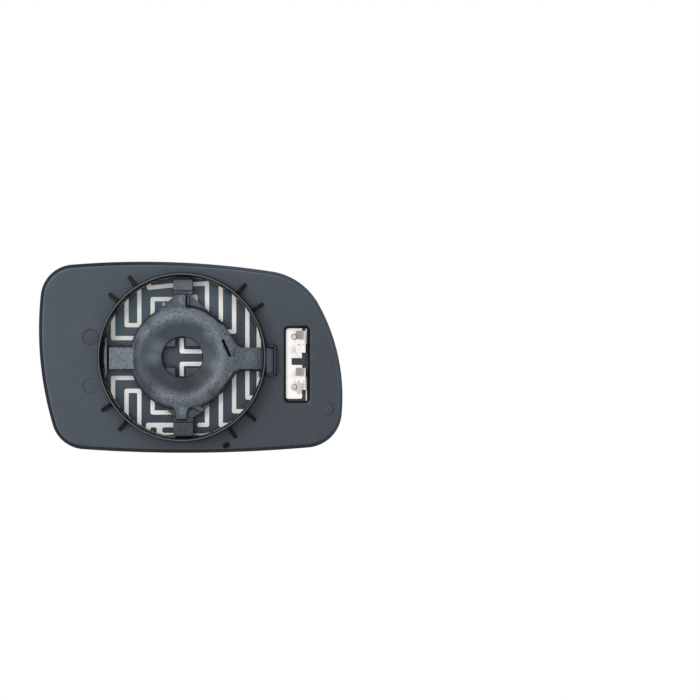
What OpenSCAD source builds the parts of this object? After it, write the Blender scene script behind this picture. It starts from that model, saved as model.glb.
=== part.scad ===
// Heated door mirror glass: convex glass, heater film and moulded back plate.
// Drawn lying on its glass with the ring axis upright, then stood up by place().
// u runs to the right and v upwards as seen from behind; depth counts backwards
// from the front of the glass. All lengths are millimetres.

/* [Outline] */
// right side: bow radius
right_bow = 111.7; // [105:0.1:130]
// right side: direction of its furthest point, degrees
right_turn = 52.4; // [50:0.1:55]
// right side: distance from the ring axis
right_reach = 82.5; // [80:0.1:86]
// top side: bow radius
top_bow = 494; // [400:1:700]
// top side: direction, degrees
top_turn = 87; // [86:0.1:88.5]
// top side: plate beyond the ring
top_border = 6.3; // [5:0.1:9]
// left side: bow radius
left_bow = 194; // [170:1:240]
// left side: direction, degrees
left_turn = 188.2; // [186:0.1:190]
// left side: distance from the ring axis
left_reach = 83; // [80:0.1:86]
// bottom side: bow radius
bottom_bow = 811; // [600:1:1000]
// bottom side: direction, degrees
bottom_turn = 269.9; // [269:0.1:271]
// bottom side: plate beyond the ring
bottom_border = 7; // [5:0.1:9]
// upper right corner radius
corner_upper_right = 38; // [30:0.5:42]
// upper left corner radius
corner_upper_left = 20; // [16:0.5:26]
// lower left corner radius
corner_lower_left = 20; // [16:0.5:26]
// lower right corner radius
corner_lower_right = 21.5; // [18:0.5:26]

/* [Glass] */
// radius of the convex main zone
mirror_radius = 1400; // [1200:50:2000]
// radius of the wide angle zone beside the dividing line
wide_radius = 500; // [400:10:900]
// dividing line, measured to the right of the ring axis
dividing_line = 49.6; // [45:0.1:55]
// glass thickness
glass_thick = 2; // [1.8:0.1:2.4]

/* [Heater] */
// heater film thickness
film_thick = 0.4; // [0.3:0.05:0.5]
// printed conductor thickness
track_thick = 0.2; // [0.1:0.05:0.25]
// depth the conductor is pressed into the film
track_sunk = 0.1; // [0.05:0.05:0.15]
// printed conductor width
track_wide = 2.5; // [2:0.1:3]
// width of the thin feed and link lines
feed_wide = 0.9; // [0.7:0.05:1.2]
// adhesive sheet thickness
glue_thick = 0.5; // [0.4:0.05:0.7]
// adhesive seen inside the terminal window
glue_border = 1; // [0.8:0.05:1.1]
// film and adhesive stay this far inside the glass edge
sheet_inset = 0.6; // [0.4:0.1:2]
// adhesive showing inside the ring
glue_ledge = 0.6; // [0.3:0.1:1]

/* [Rim] */
// rim wall outside the glass edge
rim_wall = 1.6; // [1.2:0.1:2]
// lip over the glass edge
lip_over = 1.5; // [1:0.1:2]
// lip standing in front of the glass
lip_proud = 0.9; // [0.7:0.1:1.2]
// rounding steps on the lip and the back edge, each this deep
edge_step = 0.3; // [0.2:0.05:0.4]
// width of the lowered band round the back
band_wide = 2.1; // [2:0.1:3]
// drop of that band below the back
band_drop = 0.4; // [0.3:0.05:0.6]
// back plate thickness
plate_thick = 2; // [1.8:0.1:2.4]

/* [Ring] */
// ring outside radius
ring_outer = 49.2; // [48.8:0.1:49.6]
// ring wall thickness
ring_wall = 1.7; // [1.5:0.1:1.9]
// ring height above the plate beside it
ring_high = 7; // [6:0.1:8]
// gusset length
gusset_long = 7.5; // [6:0.1:9]
// gusset thickness
gusset_thick = 1.6; // [1.2:0.1:2]
// gusset height where it meets the ring
gusset_high = 5; // [4:0.1:6]
// first gusset pair, direction in degrees
gusset_turn = 41.3; // [38:0.1:44]
// half the angle between the two gussets of a pair
gusset_half = 7.8; // [6:0.1:10]

// height of the catch walls above the plate beside the ring
catch_high = 3.4; // [2.6:0.1:4.2]

/* [Dished socket] */
// radius of the round recess that seats the actuator
recess_radius = 12.1; // [11.8:0.1:12.6]
// depth of that recess
recess_deep = 1.2; // [1:0.1:1.5]
// socket floor thickness
floor_thick = 1.5; // [1.3:0.1:1.8]
// clear space between heater film and socket floor
floor_clear = 1.6; // [1.4:0.05:2]
// radius of the dished surface
bowl_radius = 47.8; // [44:0.1:54]
// radius of the crest circle
crest_at = 24.2; // [23.8:0.1:24.8]
// rounding of the crest
crest_round = 3; // [2.6:0.1:3.4]
// wall of the dish
dish_wall = 1.8; // [1.6:0.1:2]
// outside radius of the dish
dish_outer = 31; // [30.6:0.1:31.4]
// thickness of the arms
arm_thick = 2; // [1.6:0.1:2.4]
// arm surface below the top of the crest
arm_drop = 2.9; // [2.5:0.1:3.3]
// rise of the left arm above the other arms
left_rise = 0.8; // [0:0.1:1]
// depth of the ledge beside the upper neck
ledge_deep = 1.5; // [0.6:0.1:1.6]

/* [Terminal window] */
// left edge from the ring axis
window_left = 59.6; // [59.2:0.1:60.2]
// right edge from the ring axis
window_right = 74.4; // [73.8:0.1:74.9]
// upper edge above the ring axis
window_top = 18; // [17.4:0.1:18.5]
// lower edge below the ring axis
window_bottom = 26.7; // [26.1:0.1:27.2]
// corner radius of the window
window_round = 2.6; // [1.8:0.1:3]

/* [Terminals] */
// thickness of the terminal metal
metal_thick = 0.6; // [0.5:0.05:0.8]
// height of the standing blade
blade_high = 4.8; // [4:0.1:5.6]
// lean of the blade away from upright, degrees
blade_lean = 25; // [20:1:38]
// length of the blade
blade_long = 12.8; // [10:0.1:14]
// left edge of both terminals from the ring axis
terminal_left = 66.2; // [65.8:0.1:66.6]
// width of a terminal
terminal_wide = 4; // [3.6:0.1:4.2]
// length of its folded tab
tab_long = 4.5; // [4:0.1:5]
// length of its body
body_long = 5.2; // [4.6:0.1:5.4]
// length of its narrow tail
tail_long = 5.4; // [4.8:0.1:5.6]
// top of the upper terminal above the ring axis
upper_top = 15.4; // [14.8:0.1:15.8]
// upper rivet above the ring axis
upper_rivet = 11.9; // [9:0.1:13]
// top of the lower terminal
lower_top = -6.3; // [-6.6:0.1:-5.8]
// lower rivet
lower_rivet = -17.5; // [-18:0.1:-12]
// rivet centre line from the ring axis
rivet_at = 65.4; // [64.8:0.1:65.6]
// rivet shank radius
shank_radius = 0.9; // [0.7:0.05:1]
// rivet head radius
rivet_head = 1.5; // [1.3:0.1:1.7]
// rivet head thickness
rivet_thick = 0.5; // [0.4:0.05:0.7]
// clearance between a rivet head and the folded tab
rivet_clear = 0.1; // [0.05:0.05:0.2]

/* [Hidden] */

// depths behind the front of the glass
film_back = glass_thick + film_thick;
track_back = film_back + track_thick;
glue_back = film_back + glue_thick;
plate_back = glue_back + plate_thick;
ring_seat = plate_back + ring_outer * ring_outer / (2 * mirror_radius);
ring_top = ring_seat + ring_high;
socket_floor = film_back + floor_clear + floor_thick;

// dished surface: height of its centre, where it meets recess and crest, centre of the crest arc
recess_top = socket_floor + recess_deep;
bowl_at = recess_top + sqrt(bowl_radius * bowl_radius - recess_radius * recess_radius);
bowl_from = asin(recess_radius / bowl_radius);
bowl_to = asin((crest_at - 1) / bowl_radius);
crest_up = bowl_at - bowl_radius * cos(bowl_to) - crest_round * sin(110);
arm_back = crest_up + crest_round - arm_drop;

ring_inner = ring_outer - ring_wall;
ring_middle = ring_outer - ring_wall / 2;
top_reach = ring_outer + top_border;
bottom_reach = ring_outer + bottom_border;

// height of a layer above the bench, beyond the dividing line too
function level(depth, u) = let (beyond = max(u - dividing_line, 0), inner = min(u, dividing_line))
    depth + inner * inner / (2 * mirror_radius) + beyond * dividing_line / mirror_radius
    + beyond * beyond / (2 * wide_radius);

// a point this far from the ring axis in this direction
function polar(length, turn) = [length * cos(turn), length * sin(turn)];
function along(a, b) = atan2(b[1] - a[1], b[0] - a[0]);
function arc(centre, radius, from, sweep, steps) =
    [for (i = [0:steps]) centre + polar(radius, from + sweep * i / steps)];

// crossing of two circles, the one nearer the ring axis
function crossing(c1, r1, c2, r2) =
    let (d = norm(c2 - c1), x = (r1 * r1 - r2 * r2 + d * d) / (2 * d))
    let (h = sqrt(r1 * r1 - x * x), e = (c2 - c1) / d, n = [-e[1], e[0]])
    let (p = c1 + e * x + n * h, q = c1 + e * x - n * h)
    norm(p) < norm(q) ? p : q;

// the four bowed sides and the four corners, counter-clockwise from the right
side_bow = [right_bow, top_bow, left_bow, bottom_bow];
side_at = [polar(right_reach - right_bow, right_turn), polar(top_reach - top_bow, top_turn),
           polar(left_reach - left_bow, left_turn), polar(bottom_reach - bottom_bow, bottom_turn)];
corner_round = [corner_upper_right, corner_upper_left, corner_lower_left, corner_lower_right];
corner_at = [for (i = [0:3]) let (j = (i + 1) % 4)
    crossing(side_at[i], side_bow[i] - corner_round[i], side_at[j], side_bow[j] - corner_round[i])];
side_steps = 6;
corner_steps = 10;

// outline of the plate, moved inwards by inset; flat list of points
function outline(inset) = [for (i = [0:3]) let (
        before = along(side_at[i], corner_at[(i + 3) % 4]),
        after = along(side_at[i], corner_at[i]),
        next = along(side_at[(i + 1) % 4], corner_at[i]),
        bow = arc(side_at[i], side_bow[i] - inset, before, (after - before + 360) % 360, side_steps),
        bend = arc(corner_at[i], corner_round[i] - inset, after, (next - after + 360) % 360,
                   corner_steps))
    each concat([for (k = [1:side_steps]) bow[k]], [for (k = [1:corner_steps]) bend[k]])];

// rectangle with rounded corners from its edges
function rounded(left, right, bottom, top, radius) = concat(
    arc([right - radius, top - radius], radius, 0, 90, 5),
    arc([left + radius, top - radius], radius, 90, 90, 5),
    arc([left + radius, bottom + radius], radius, 180, 90, 5),
    arc([right - radius, bottom + radius], radius, 270, 90, 5));

// one bank of a line of given half width: rounded outside a bend, mitred inside it
function bank(path, half) = [for (i = [0:len(path) - 1]) let (
        first = i == 0, last = i == len(path) - 1,
        enter = first ? along(path[0], path[1]) : along(path[i - 1], path[i]),
        leave = last ? enter : along(path[i], path[i + 1]),
        turn = (leave - enter + 540) % 360 - 180)
    each turn < -1
        ? [for (k = [0:3]) path[i] + polar(half, enter + 90 + turn * k / 3)]
        : [path[i] + polar(half / cos(turn / 2), enter + 90 + turn / 2)]];
function backwards(path) = [for (i = [len(path) - 1:-1:0]) path[i]];
function stroke(path, wide) = concat(bank(path, wide / 2), bank(backwards(path), wide / 2));

// moves a module from its bench position into the frame of the part
module place() {
    rotate([90, 0, 180]) translate([0, 0, -socket_floor - recess_deep / 2])
        children();
}

// shell between two depths, following the curved glass: sphere and wide angle zone
module layer(from, to) {
    half_turn = 3;
    translate([0, 0, mirror_radius])
        rotate([0, 90 - asin(dividing_line / mirror_radius), 0])
        rotate([0, 0, -half_turn])
        rotate_extrude(angle = 2 * half_turn, $fn = 256) {
            intersection() {
                difference() {
                    circle(r = mirror_radius - from, $fn = 256);
                    circle(r = mirror_radius - to, $fn = 256);
                }
                translate([mirror_radius - 40, -145]) square([50, 145]);
            }
            intersection() {
                translate([mirror_radius - wide_radius, 0]) difference() {
                    circle(r = wide_radius - from, $fn = 256);
                    circle(r = wide_radius - to, $fn = 256);
                }
                translate([mirror_radius - 40, 0]) square([50, 60]);
            }
        }
}

module prism(shape) {
    translate([0, 0, -4]) linear_extrude(32) polygon(shape);
}

// plate shaped piece of the stack: an outline between two depths
module sheet(shape, from, to) {
    intersection() {
        prism(shape);
        layer(from, to);
    }
}

// flat slab on the bench from one height to another
module slab(shape, from, to) {
    translate([0, 0, from]) linear_extrude(to - from) polygon(shape);
}

module mirror_glass() {
    color([0.62, 0.72, 0.9]) place() sheet(outline(rim_wall), 0, glass_thick);
}

// the printed pattern is drawn for a ring of this inside radius and grows with the ring
pattern_grow = ring_inner / 47.5;

// conductor from the lower feed to its loose end beside the lower tab, as seen from behind
right_path = [
    // outer right bars
    [52.5, 1.8], [52.5, 26], [44.6, 26], [44.6, -17.3], [54, -17.3], [54, -23.8],
    [37.9, -23.8], [37.9, 42.5], [30.1, 42.5],
    // under the dish to the upper left corner of the pattern
    [30.1, 15], [7.4, 15], [7.4, 35.6], [-5.8, 34.1], [-17.8, 34.1], [-17.8, 18.8],
    // past the cross window
    [-0.7, 18.8], [-0.7, 3.4], [18.5, 3.4], [18.5, -4], [-0.7, -4], [-0.7, -19.8],
    // lower half, to the right and back to the left
    [-17.8, -19.8], [-17.8, -32.5], [7.4, -32.5], [7.4, -9.4], [30.1, -9.4], [30.1, -31.8],
    [50, -31.8], [50, -39.8], [22.3, -39.8], [22.3, -17], [14.2, -17], [14.2, -39.8],
    [9.7, -39.8]] * pattern_grow;

// conductor from behind the lower tab round the left bars to the upper right
left_path = [
    [3, -39.8], [-20.4, -39.8], [-20.4, -47], [-25.6, -47],
    // lower left and upper left bars
    [-25.6, -19.8], [-33.1, -19.8], [-33.1, -43], [-41, -43], [-41, -12.2], [-17.8, -12.2],
    [-17.8, 11.2], [-41, 11.2], [-41, 40], [-33.1, 40], [-33.1, 18.8], [-25.6, 18.8],
    [-25.6, 47.4], [-20, 47.4], [-20, 40.8],
    // across the top and beyond the ring
    [-5.3, 42.3], [14.2, 43.3], [14.2, 21.7], [22.3, 21.7], [22.3, 47.5], [40, 47.5]] * pattern_grow;

// contact pad: two lands joined down the left side, set into the window
pad_round = 1.1;
pad_left = window_left + 1;
pad_right = terminal_left + terminal_wide - 0.1;
pad_top = window_top - 1.1;
pad_bottom = 2.3 - window_bottom;
pad_shape = concat(
    arc([pad_left + pad_round, pad_top - pad_round], pad_round, 90, 90, 4),
    arc([pad_left + pad_round, pad_bottom + pad_round], pad_round, 180, 90, 4),
    arc([pad_right - pad_round, pad_bottom + pad_round], pad_round, 270, 90, 4),
    [[pad_right, lower_top + 1.7], [pad_left + 3.3, lower_top + 1.7],
     [pad_left + 3.3, lower_top + 5.8], [pad_right, lower_top + 5.8], [pad_right, pad_top]]);

// thin lines: both feeds, which leave the pad under the blades, and the link of the two halves
feed_from = pad_right - 1.1;
feed_at = terminal_left + 6.2;
upper_feed = [[feed_from, 8], [feed_at, 8], [feed_at, 32], [39, 47.5] * pattern_grow];
lower_feed = concat([[feed_from, -12], [feed_at, -12], [feed_at, -30]],
                    [[57.5, -30], [57.5, 3], [52, 3]] * pattern_grow);
link_path = [[-5, -45.1], [6.5, -45.3], [12, -45.4], [24, -43], [26, -39.5]] * pattern_grow;

module conductor() {
    intersection() {
        union() {
            prism(stroke(right_path, track_wide));
            prism(arc(right_path[len(right_path) - 1], track_wide / 2, 90, 180, 6));
            prism(stroke(left_path, track_wide));
            for (path = [upper_feed, lower_feed, link_path])
                prism(stroke(path, feed_wide));
            prism(pad_shape);
            // broad joint at the lower left with two round ended openings
            difference() {
                prism([[-21, -40], [-3, -40], [-3, -45.6], [-21, -45.6]] * pattern_grow);
                prism(rounded(-19.2, -15.3, -44.5, -41.2, 1.3) * pattern_grow);
                prism(rounded(-12.1, -1, -44.5, -41.2, 1.3) * pattern_grow);
            }
        }
        layer(film_back - track_sunk, track_back);
    }
}

module heater_film() {
    color([0.28, 0.34, 0.4]) place() difference() {
        sheet(outline(rim_wall + sheet_inset), glass_thick, film_back);
        conductor();
    }
}

module heater_track() {
    color([0.88, 0.88, 0.86]) place() conductor();
}

module window_prism(grow) {
    prism(rounded(window_left - grow, window_right + grow, -window_bottom - grow,
                  window_top + grow, window_round + grow));
}

module adhesive_sheet() {
    color([0.5, 0.5, 0.4]) place() difference() {
        sheet(outline(rim_wall + sheet_inset), film_back, glue_back);
        conductor();
        translate([0, 0, -4]) cylinder(r = ring_inner - glue_ledge, h = 32, $fn = 120);
        window_prism(-glue_border);
    }
}

// standing rim, lip and plate without the ring, closed over the whole outline
module plate_block() {
    lip_inner = rim_wall + lip_over;
    band_back = plate_back - band_drop;
    difference() {
        union() {
            sheet(outline(0), edge_step - lip_proud, band_back - edge_step);
            sheet(outline(edge_step), -lip_proud, band_back);
            sheet(outline(band_wide), glue_back, plate_back);
        }
        sheet(outline(lip_inner), -3, glass_thick);
        translate([0, 0, -4]) cylinder(r = ring_middle, h = 32, $fn = 120);
        window_prism(0);
    }
}

module ring_wall_body() {
    top = ring_wall / 2;
    rotate_extrude($fn = 120) polygon(concat(
        [[ring_inner, glass_thick], [ring_outer, glass_thick]],
        arc([ring_middle, ring_top - top], top, 0, 180, 6)));
}

module gusset() {
    root = ring_middle;
    foot = ring_outer + gusset_long;
    rotate([90, 0, 0]) translate([0, 0, -gusset_thick / 2]) linear_extrude(gusset_thick)
        polygon([[root, glass_thick + 1], [foot, glass_thick + 1], [foot, ring_seat + 0.9],
                 [foot - 0.8, ring_seat + 1.6], [root, ring_seat + gusset_high]]);
}

// dish profile: recess, bowl, crest, outer slope, and the same line moved in by the wall
module dish() {
    wall_radius = bowl_radius + dish_wall;
    rotate_extrude($fn = 90) polygon(concat(
        [[0, socket_floor - floor_thick], [recess_radius - 0.5, socket_floor - floor_thick]],
        arc([0, bowl_at], wall_radius, 270 + asin(recess_radius / wall_radius),
            asin((crest_at - 1.4) / wall_radius) - asin(recess_radius / wall_radius), 5),
        arc([crest_at, crest_up], crest_round - dish_wall, 110, -58, 3),
        [[dish_outer, crest_up - 3.1], [dish_outer, crest_up - 1.4]],
        arc([crest_at, crest_up], crest_round, 52, 58, 6),
        arc([0, bowl_at], bowl_radius, 270 + bowl_to, bowl_from - bowl_to, 8),
        [[recess_radius, socket_floor], [0, socket_floor]]));
}

// cross shaped window through the socket floor
module cross_window() {
    cut = 0.9;
    end = recess_radius - 0.4;
    translate([0, 0, socket_floor - floor_thick - 1]) linear_extrude(floor_thick + 1.3)
        polygon([[1, 11.2], [-3.5, 11.2], [-3.5, 5.5 + cut], [-3.5 - cut, 5.5], [1.3 - end, 5.5],
                 [0.3 - end, 3.2], [-end, 0], [0.3 - end, -3.2], [1.3 - end, -5.3],
                 [-3.5 - cut, -5.3], [-3.5, -5.3 - cut], [-3.5, -11.2], [1, -11.2],
                 [1, -5.3 - cut], [1 + cut, -5.3], [end - 1.3, -5.3], [end - 0.3, -3.2],
                 [end, 0], [end - 0.3, 3.2], [end - 1.3, 5.5], [1 + cut, 5.5], [1, 5.5 + cut]]);
}

// arms, necks and tabs that carry the dish inside the ring
module arms() {
    under = arm_back - arm_thick;
    web = under - 1.2;
    web_back = web + 1.1;
    step = arm_back - 1.1;
    tab_back = arm_back + 0.8;
    tab = ring_inner - 2.1;
    left_arm(under, web);
    right_arm(under, web, step);
    // upper neck, its step and tab
    slab([[-4.3, 36.9], [-4.3, 36.4], [-6.2, 34.3], [-14.4, 27.6], [-8, 22], [8, 22],
          [15.6, 27.2], [5.8, 35.3], [3.9, 36.4], [3.9, 36.9]], under, arm_back);
    slab([[-5.2, 36.3], [6.2, 36.3], [6.2, 40], [-5.2, 40]], web, step);
    slab([[-5.2, 39], [6.2, 39], [6.2, tab], [-5.2, tab]], web, tab_back);
    slab([[-4, 42], [5, 42], [5, ring_middle], [-4, ring_middle]], web, web_back);
    // round lug at the root of the upper neck
    slab(arc([-10.8, 31], 1.6, 0, 330, 11), under, arm_back + 0.6);
    // lower neck, its step and tab
    slab([[2.7, -36.2], [2.7, -32], [4.2, -29.6], [8, -27], [-8, -27], [-5.4, -29.8],
          [-3.8, -32], [-3.8, -36.2]], under, arm_back);
    slab([[-5.2, -39], [6.5, -39], [6.5, -35.4], [-5.2, -35.4]], web, step);
    slab([[-5.2, -1 - tab], [6.5, -1 - tab], [6.5, -38.2], [-5.2, -38.2]], web, tab_back);
    slab([[-4, -ring_middle], [5, -ring_middle], [5, -43], [-4, -43]], web, web_back);
    // low webs beside the lower neck
    slab([[-16.4, -25], [-4, -35.4], [-2, -34], [-2, -25]], web, web_back);
    slab([[2, -25], [17.4, -25.6], [15.5, -28.5], [11.5, -32.3], [6.4, -35.6], [2, -35.6]],
         web, web_back);
    slab([[4.5, -29.2], [11.4, -32.2], [13.6, -30.2], [8, -28.4]], web, web_back + 1);
}

// left arm, the cross flange that follows the ring, and the low web that joins both to it
module left_arm(under, web) {
    top = 5.8;
    bottom = -7;
    flange_in = 3.6 - ring_inner;
    flange_out = ring_inner - 1.6;
    flange_top = 11.8;
    flange_bottom = -11;
    flange_from = 180 - asin(flange_top / flange_out);
    flange_to = 180 - asin(flange_bottom / flange_out);
    arm_end = flange_in + 1.1;
    slab([[-25, bottom], [-25, top], [arm_end, top], [arm_end, bottom]],
         under, arm_back + left_rise);
    slab(concat(arc([0, 0], flange_out, flange_from, flange_to - flange_from, 6),
                [[flange_in, flange_bottom], [flange_in, flange_top]]),
         web, arm_back + left_rise);
    slab([[-25, -5], [-25, 4], [-ring_middle, 4], [-ring_middle, -5]], web, under + 0.4);
    // bowed strip on the upper edge of the arm
    bow_at = [-36, top - 3.2];
    bow = 4.9;
    slab(concat(arc(bow_at, bow, 37, 106, 8), arc(bow_at, bow - 0.7, 143, -106, 8)),
         under, arm_back);
}

// right arm with its flared root, the low end that meets the ring and the flange below it
module right_arm(under, web, step) {
    top = 5.7;
    bottom = -7.5;
    flange_at = ring_inner - 2.8;
    flange_bottom = -11.6;
    slab([[20, -14], [23.5, -20.7], [31.5, -9.1], [32.6, -8], [34.4, bottom],
          [ring_inner - 3.2, bottom], [ring_inner - 3.2, top], [33.8, top], [32.4, 7.2],
          [28.5, 13.3], [23, 20.5], [18, 16]], under, arm_back);
    slab([[40, bottom], [ring_middle, bottom], [ring_middle, top], [40, top]],
         under, arm_back - 0.3);
    slab([[flange_at, bottom + 1], [flange_at, flange_bottom],
          [ring_middle - 2, flange_bottom], [ring_middle - 1, bottom + 1]], web, step);
    // pad beside the slanted slot
    slab([[24.9, 10.7], [27.7, 13.2], [31.6, 6.6], [29.4, 0.6]], under, arm_back + 0.5);
}

// wedge shaped ledge beside the upper neck, groove along the dish edge, and slanted slot
module dish_cuts() {
    ledge = arm_back - ledge_deep;
    groove = arm_back - 1.8;
    groove_wide = 1.2;
    above = 6;
    rotate(52) rotate_extrude(angle = 32, $fn = 90)
        translate([dish_outer - 1.5, groove]) square([groove_wide, above]);
    difference() {
        slab([[2, 37], [2, 29], [7.8, 28.5], [11.9, 27.5], [15.9, 25.9], [20, 23.4], [24, 28],
              [12, 37]], ledge, arm_back + above);
        slab([[2.9, 35.5], [2.9, 30], [4, 30], [4, 35.5]], ledge - 1, arm_back - 0.2);
    }
    slab([[23, 10.4], [27.3, 0.5], [28.9, 0.5], [24.6, 10.4]], arm_back - 1.4, arm_back + above);
}

// catch outside the ring: three standing walls and a sloping floor
module catch() {
    foot = glass_thick + 1;
    rib = 1.2;
    near = ring_middle;
    far = ring_outer + 5.7;
    top = 7.1;
    bottom = -10.8;
    back = ring_seat + catch_high;
    slab([[near, top - rib], [far, top - rib], [far, top], [near, top]], foot, back);
    slab([[near, bottom], [far, bottom], [far, bottom + rib], [near, bottom + rib]], foot, back);
    slab([[far - rib, bottom], [far, bottom], [far, top], [far - rib, top]], foot, back);
    rotate([90, 0, 0]) translate([0, 0, rib / 2 - top]) linear_extrude(top - bottom - rib)
        polygon([[near, foot], [far - 0.6, foot], [far - 0.6, ring_seat + 0.6],
                 [near, ring_seat + 2.4]]);
}

module peg() {
    translate([25.6, 4.6 - bottom_reach, 0]) rotate(35)
        slab(rounded(-1.7, 1.7, -1.2, 1.2, 0.4), glass_thick + 1, ring_seat + 1.9);
}

// round marks left by the ejector pins of the mould
module ejector_mark(u, v, radius) {
    translate([u, v, -4]) difference() {
        cylinder(r = radius, h = 32, $fn = 32);
        cylinder(r = radius - 0.35, h = 32, $fn = 32);
    }
}

module back_plate() {
    color([0.2, 0.23, 0.26]) place() difference() {
        union() {
            difference() {
                plate_block();
                intersection() {
                    union() {
                        ejector_mark(-4.7 - ring_outer, 11.8, 4.8);
                        ejector_mark(-4.7 - ring_outer, -16.9, 4.6);
                        ejector_mark(window_right + 10.3, -3.5 - window_bottom, 4.2);
                    }
                    layer(plate_back - 0.15, plate_back + 3);
                }
            }
            ring_wall_body();
            for (quarter = [0:3], side = [-1, 1])
                rotate(gusset_turn + 90 * quarter + side * gusset_half) gusset();
            catch();
            peg();
            difference() {
                union() {
                    dish();
                    arms();
                }
                cross_window();
                dish_cuts();
                translate([0, 0, socket_floor]) cylinder(r = recess_radius, h = 20, $fn = 90);
            }
        }
        sheet(outline(rim_wall), 0, glue_back);
    }
}

// flat round disc between two depths
module disc(u, v, radius, from, to) {
    intersection() {
        translate([u, v, -4]) cylinder(r = radius, h = 32, $fn = 24);
        layer(from, to);
    }
}

// one terminal: foot soldered to the pad, folded tab, dimple, leaning blade, eye for the rivet
module terminal(top, rivet_v) {
    left = terminal_left;
    right = terminal_left + terminal_wide;
    tab_end = top - tab_long;
    body_end = tab_end - body_long;
    tail_end = body_end - tail_long;
    foot_back = track_back + metal_thick;
    difference() {
        union() {
            sheet([[left, body_end], [left + 0.9, tail_end], [right - 0.4, tail_end],
                   [right - 0.1, body_end], [right, body_end], [right, top], [left + 0.3, top],
                   [left + 0.3, tab_end], [left, tab_end]], track_back, foot_back);
            sheet([[left + 0.3, tab_end], [right, tab_end], [right, top], [left + 0.3, top]],
                  foot_back - 0.1, foot_back + metal_thick);
            disc(rivet_at, rivet_v, rivet_head + 0.2, track_back, foot_back);
            intersection() {
                translate([right - metal_thick, top - blade_long, level(track_back, right)])
                    rotate([0, blade_lean, 0]) translate([0, 0, -metal_thick])
                    cube([metal_thick, blade_long, blade_high + metal_thick]);
                layer(track_back, 14);
            }
        }
        translate([rivet_at, rivet_v, -4]) cylinder(r = shank_radius, h = 32, $fn = 24);
        disc(rivet_at, rivet_v, rivet_head + rivet_clear, foot_back, foot_back + 3);
        // dimple in the body
        disc((left + right) / 2, body_end + 1.6, 0.5, foot_back - 0.35, foot_back + 3);
    }
}

// hollow rivet: head on the eye of the terminal and shank down to the pad
module rivet(rivet_v) {
    foot_back = track_back + metal_thick;
    difference() {
        union() {
            disc(rivet_at, rivet_v, rivet_head, foot_back, foot_back + rivet_thick);
            disc(rivet_at, rivet_v, shank_radius, track_back, foot_back);
        }
        translate([rivet_at, rivet_v, -4]) cylinder(r = shank_radius / 2, h = 32, $fn = 24);
    }
}

module terminal_upper() {
    color([0.86, 0.86, 0.84]) place() terminal(upper_top, upper_rivet);
}

module terminal_lower() {
    color([0.86, 0.86, 0.84]) place() terminal(lower_top, lower_rivet);
}

module rivet_upper() {
    color([0.75, 0.73, 0.68]) place() rivet(upper_rivet);
}

module rivet_lower() {
    color([0.75, 0.73, 0.68]) place() rivet(lower_rivet);
}

mirror_glass();
heater_film();
heater_track();
adhesive_sheet();
back_plate();
terminal_upper();
terminal_lower();
rivet_upper();
rivet_lower();
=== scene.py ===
import math

import bmesh
import bpy
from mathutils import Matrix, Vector


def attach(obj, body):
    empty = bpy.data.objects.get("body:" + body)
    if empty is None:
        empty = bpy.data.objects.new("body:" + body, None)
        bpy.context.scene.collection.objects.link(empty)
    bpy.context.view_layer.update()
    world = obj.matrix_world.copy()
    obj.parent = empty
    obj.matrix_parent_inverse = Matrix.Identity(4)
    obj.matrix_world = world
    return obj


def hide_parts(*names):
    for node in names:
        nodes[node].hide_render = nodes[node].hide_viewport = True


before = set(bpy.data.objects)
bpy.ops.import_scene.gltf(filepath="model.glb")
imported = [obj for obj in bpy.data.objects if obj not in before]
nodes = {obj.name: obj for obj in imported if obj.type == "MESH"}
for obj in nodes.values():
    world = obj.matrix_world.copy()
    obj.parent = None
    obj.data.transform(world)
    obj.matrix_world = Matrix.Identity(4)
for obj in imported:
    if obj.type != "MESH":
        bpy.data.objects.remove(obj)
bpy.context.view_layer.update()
MM = 0.001

# sizes of the part, in millimetres
# u runs right and v up as seen from behind, depth counts backwards from the front of the glass
# outline: each bow as (radius, direction it faces in degrees, reach from the ring's axis),
# and the radius of the corner that follows it
RIGHT, TOP = (111.7, 52.4, 82.5), (494, 87, 55.5)
LEFT, BOTTOM = (194, 188.2, 83), (811, 269.9, 56.2)
CORNERS = (38, 20, 20, 21.5)
# glass: radius of the main zone and of the wide angle zone, and the u of the line between them
MAIN_R, WIDE_R, DIVIDE = 1400.0, 500.0, 49.6
# depths: origin of the frame, backs of the glass, the adhesive and the plate
ORIGIN_DEPTH = 6.1
GLASS, GLUE_BACK, PLATE_BACK = 2.0, 2.9, 4.9
RIM_WALL, BAND_WIDE, BAND_DROP = 1.6, 2.1, 0.4
# ring: radii, and the heights of its top and of the plate at its foot
RING_IN, RING_OUT, RING_TOP, RING_SEAT = 47.5, 49.2, 12.76, 5.76
GUSSET_LONG, GUSSET_THICK, GUSSET_HIGH, GUSSET_TURN, GUSSET_HALF = 7.5, 1.6, 5.0, 41.3, 7.8
CATCH_FAR, CATCH_TOP, CATCH_BOTTOM, CATCH_HIGH, CATCH_RIB = 54.9, 7.1, -10.8, 3.4, 1.2
PEG_AT, PEG_HALF, PEG_HIGH, PEG_TURN = (25.6, -51.6), (1.7, 1.2), 1.9, 35
# heights above the plate of a gusset's end and of the shoulder behind it, and that slope's length
GUSSET_END, SHOULDER_HIGH, SHOULDER_LONG = 0.9, 1.6, 0.8
# heights above the plate of the catch's floor, at the ring and at its far side
SLOPE_NEAR, SLOPE_FAR = 2.4, 0.6
# heights inside the plate where gussets, ribs with the peg, and the catch's floor start
GUSSET_FROM, RIB_FROM, FLOOR_FROM = 3.6, 3.9, 4.0
# bevel of the ribs, and how far the arms go into the ring's wall
RIB_BEVEL, ARM_IN_WALL = 0.28, 0.35
WINDOW, WINDOW_ROUND = (59.6, 74.4, -26.7, 18.0), 2.6
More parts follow.
